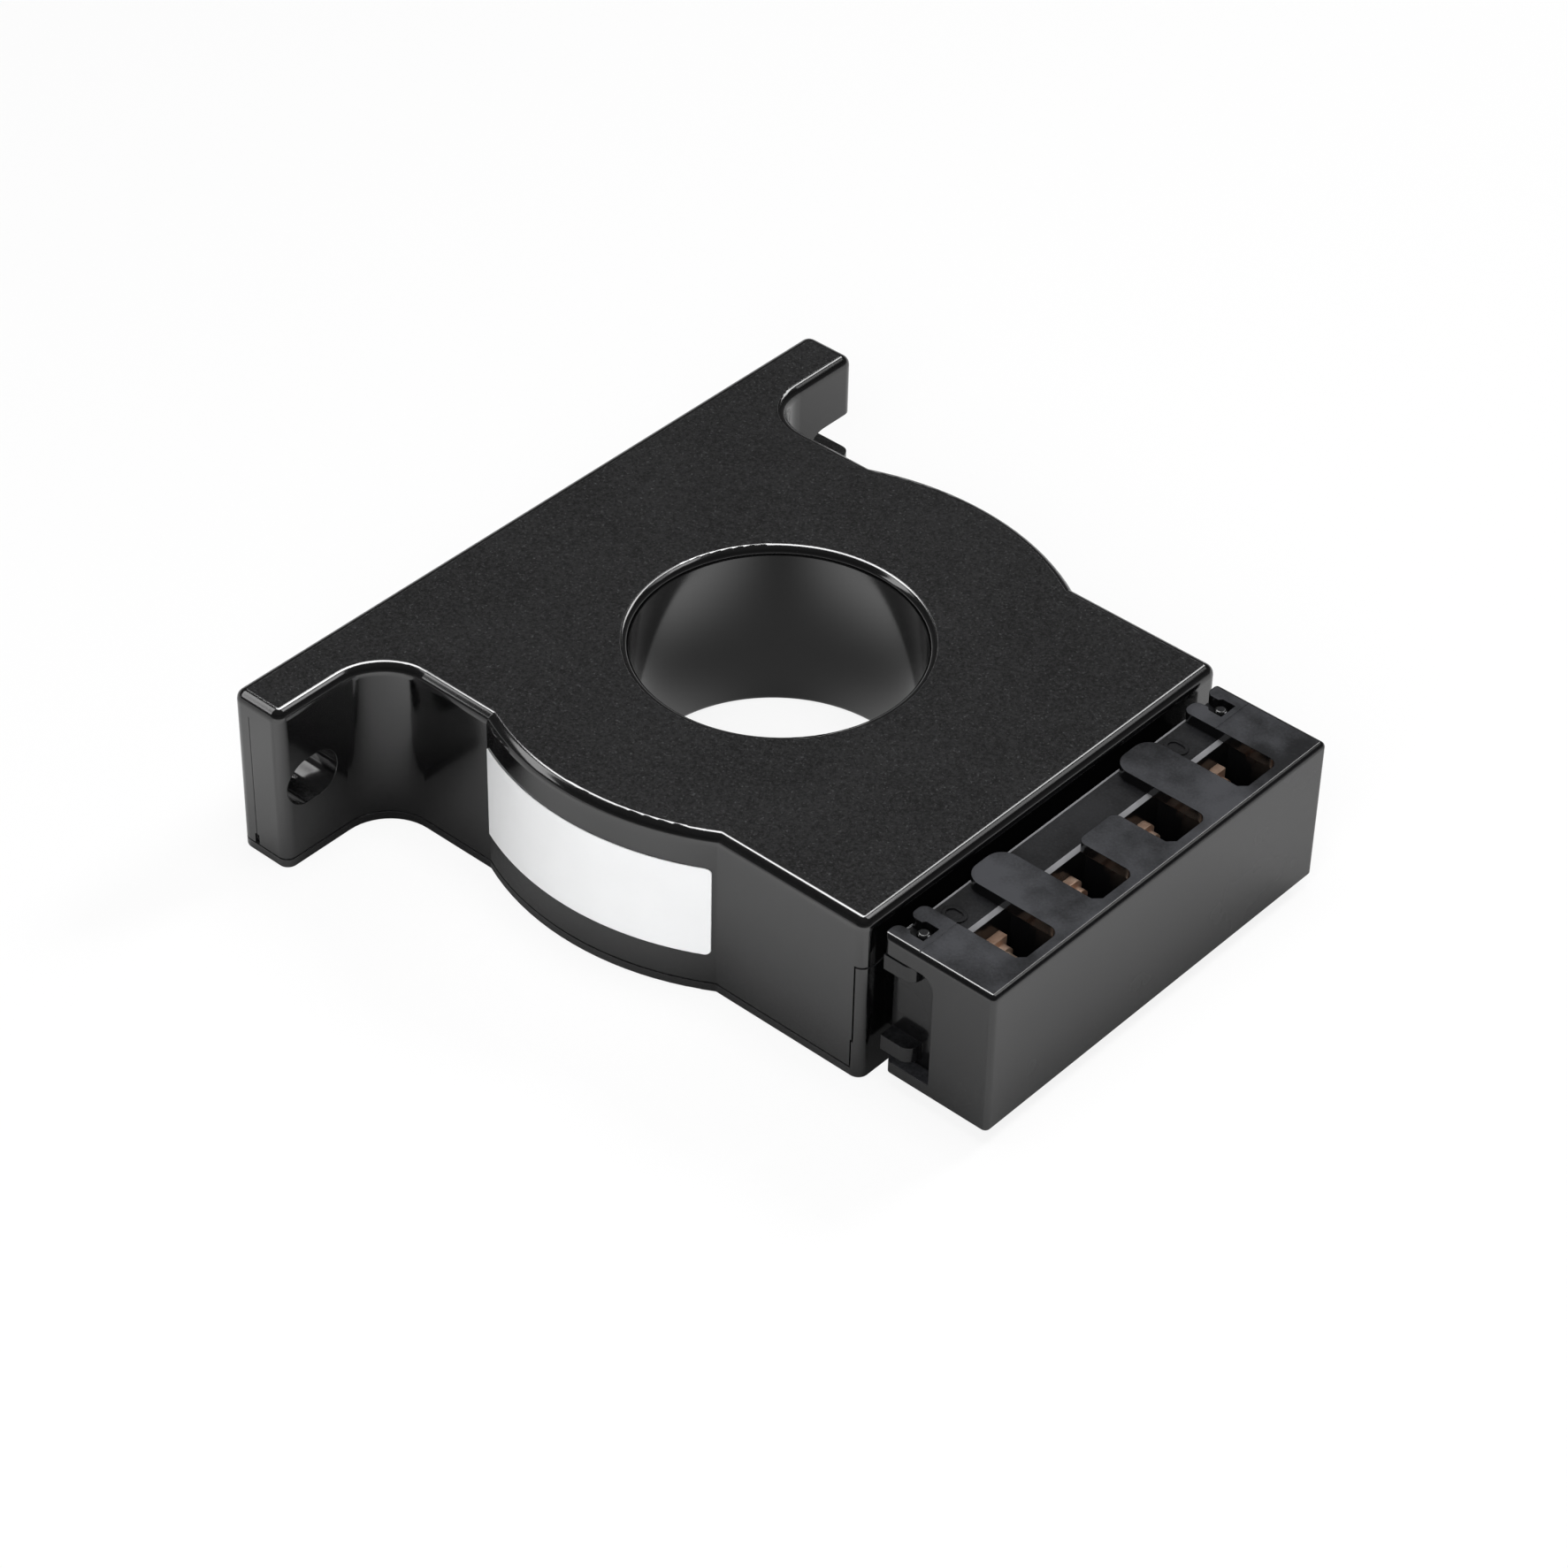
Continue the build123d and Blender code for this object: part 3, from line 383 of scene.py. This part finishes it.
def add_bead():
    """Fine bead along the block's top edge next to the housing, its pale tone a painted
    highlight.
    """
    low, high = (Vector(corner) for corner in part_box("terminal_block"))
    front = low.x + BEAD_START
    half = (high.y - low.y) / 2 - BEAD_END_GAP
    foot, crest = BLOCK_TOP - BEAD_SUNK, BLOCK_TOP + BEAD_HEIGHT
    profile = [(front, foot), (front, crest)]
    profile += [(front + BEAD_TOP_WIDTH, crest), (front + BEAD_WIDTH, foot)]
    verts = [(x, side * half, z) for side in (-1, 1) for x, z in profile]
    faces = [(0, 1, 2, 3), (7, 6, 5, 4)]
    faces += [(k, (k + 1) % 4, (k + 1) % 4 + 4, k + 4) for k in range(4)]
    data = bpy.data.meshes.new("block_bead")
    data.from_pydata(verts, [], [face[::-1] for face in faces])
    bead = bpy.data.objects.new("block_bead", data)
    bpy.context.scene.collection.objects.link(bead)
    # The bead's pale grey paints the highlight of light along its crest
    material = plain_moulding("bead_painted_highlight", (0.16, 0.16, 0.165), (0.22, 0.22, 0.23), 0.4)
    data.materials.append(material)
    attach(bead, "housing")


def floor_material():
    """White as seen directly, and a shaded floor in a gloss, lighter inside the through hole."""
    s = Shader("floor_white")
    rays = s.add("ShaderNodeLightPath").outputs
    across, along = s.axis("X"), s.axis("Y")

    sideways, lengthways = HOLE_SIDEWAYS
    aside = s.math("MULTIPLY", across, sideways)
    aside = s.math("ADD", aside, s.math("MULTIPLY", along, lengthways))
    in_hole = s.ramp(s.math("MULTIPLY", aside, aside), 0.0, HOLE_SIDE**2, *HOLE_LIGHT)
    near_edge, far_edge = HOLE_LIGHT_EDGE
    inside = s.ramp(s.squares(across, along), near_edge**2, far_edge**2, 1.0, 0.0)
    in_hole = s.math("MULTIPLY", inside, in_hole)

    reach = {"Distance": CONTACT_REACH}
    open_sky = s.add("ShaderNodeAmbientOcclusion", reach, samples=8).outputs["AO"]
    contact = s.ramp(open_sky, OPEN_SHADED, OPEN_CLEAR)
    # Painted shade seen in glosses: the floor darker behind the foot and beyond the far side
    behind_foot = s.ramp(across, -0.08, -0.02, 0.6, 1.0, smooth=True)
    far_end = s.ramp(along, 0.0, 0.06, 1.0, 0.7, smooth=True)
    contact = s.math("MULTIPLY", s.math("MULTIPLY", contact, behind_foot), far_end)
    shade = s.blend(rays["Is Glossy Ray"], 1.0, s.math("MAXIMUM", contact, in_hole))
    s.set(Base_Color=s.mix(shade, (0.02, 0.02, 0.02), (0.9, 0.9, 0.9)))
    s.set(Roughness=0.9, Specular_IOR_Level=0.1)

    direct = s.math("MAXIMUM", rays["Is Camera Ray"], rays["Is Transmission Ray"])
    direct = s.math("MULTIPLY", direct, FLOOR_WHITE_SEEN)
    gloss = s.math("MAXIMUM", in_hole, FLOOR_WHITE_IN_GLOSS)
    gloss = s.math("MULTIPLY", rays["Is Glossy Ray"], gloss)
    white = s.add("ShaderNodeEmission", {"Color": (1.0, 1.0, 1.0, 1.0), "Strength": 1.0})
    both = s.add("ShaderNodeMixShader", {0: s.math("MAXIMUM", direct, gloss)})
    s.put(both.inputs[1], s.bsdf.outputs["BSDF"])
    s.put(both.inputs[2], white.outputs["Emission"])
    s.put(s.tree.nodes["Material Output"].inputs["Surface"], both.outputs["Shader"])
    return s.material


def make_floor():
    data = bpy.data.meshes.new("floor")
    sides = [(-1, -1), (1, -1), (1, 1), (-1, 1)]
    corners = [(x * FLOOR_HALF, y * FLOOR_HALF, FLOOR_LEVEL) for x, y in sides]
    data.from_pydata(corners, [], [(0, 1, 2, 3)])
    floor = bpy.data.objects.new("floor", data)
    bpy.context.scene.collection.objects.link(floor)
    data.materials.append(floor_material())


def make_world():
    """A pale horizon under a darker ceiling."""
    world = bpy.data.worlds.new("studio")
    bpy.context.scene.world = world
    world.use_nodes = True
    tree = world.node_tree
    coords = tree.nodes.new("ShaderNodeTexCoord")
    parts = tree.nodes.new("ShaderNodeSeparateXYZ")
    ramp = tree.nodes.new("ShaderNodeValToRGB")
    tree.links.new(coords.outputs["Generated"], parts.inputs["Vector"])
    tree.links.new(parts.outputs["Z"], ramp.inputs["Fac"])
    tree.links.new(ramp.outputs["Color"], tree.nodes["Background"].inputs["Color"])
    marks = ramp.color_ramp.elements
    marks[0].position, marks[1].position = SKY_TONES[0][0], SKY_TONES[-1][0]
    for height, _ in SKY_TONES[1:-1]:
        marks.new(height)
    for mark, (_, tone) in zip(marks, SKY_TONES):
        mark.color = (tone, tone, tone, 1.0)


def area_light(name, place, along, length, width, power, gloss_only):
    """A flat lamp aimed at the object, seen either in glosses only or never in them."""
    data = bpy.data.lights.new(name, "AREA")
    data.shape = "RECTANGLE"
    data.size, data.size_y, data.energy = length, width, power
    lamp = bpy.data.objects.new(name, data)
    back = (Vector(place) - Vector(LAMP_TARGET)).normalized()
    first = (Vector(along) - back * back.dot(Vector(along))).normalized()
    turn = Matrix((first, back.cross(first), back)).transposed().to_4x4()
    lamp.matrix_world = Matrix.Translation(place) @ turn
    lamp.visible_glossy, lamp.visible_diffuse = gloss_only, not gloss_only
    bpy.context.scene.collection.objects.link(lamp)


def make_lights():
    for lamps, gloss_only in ((SOFT_LAMPS, False), (GLOSS_LAMPS, True)):
        for lamp in lamps:
            area_light(*lamp, gloss_only)


def make_camera():
    data = bpy.data.cameras.new("camera")
    data.sensor_width, data.lens = SENSOR_MM, LENS_MM
    data.clip_start, data.clip_end = CAMERA_REACH
    camera = bpy.data.objects.new("camera", data)
    turn = Matrix((CAMERA_RIGHT, CAMERA_UP, CAMERA_BACK)).transposed().to_4x4()
    camera.matrix_world = Matrix.Translation(CAMERA_PLACE) @ turn
    bpy.context.scene.collection.objects.link(camera)
    bpy.context.scene.camera = camera


finish_nodes()
add_bead()
make_floor()
make_world()
make_lights()
make_camera()
bpy.context.scene.view_settings.view_transform = "Standard"

bpy.context.view_layer.update()
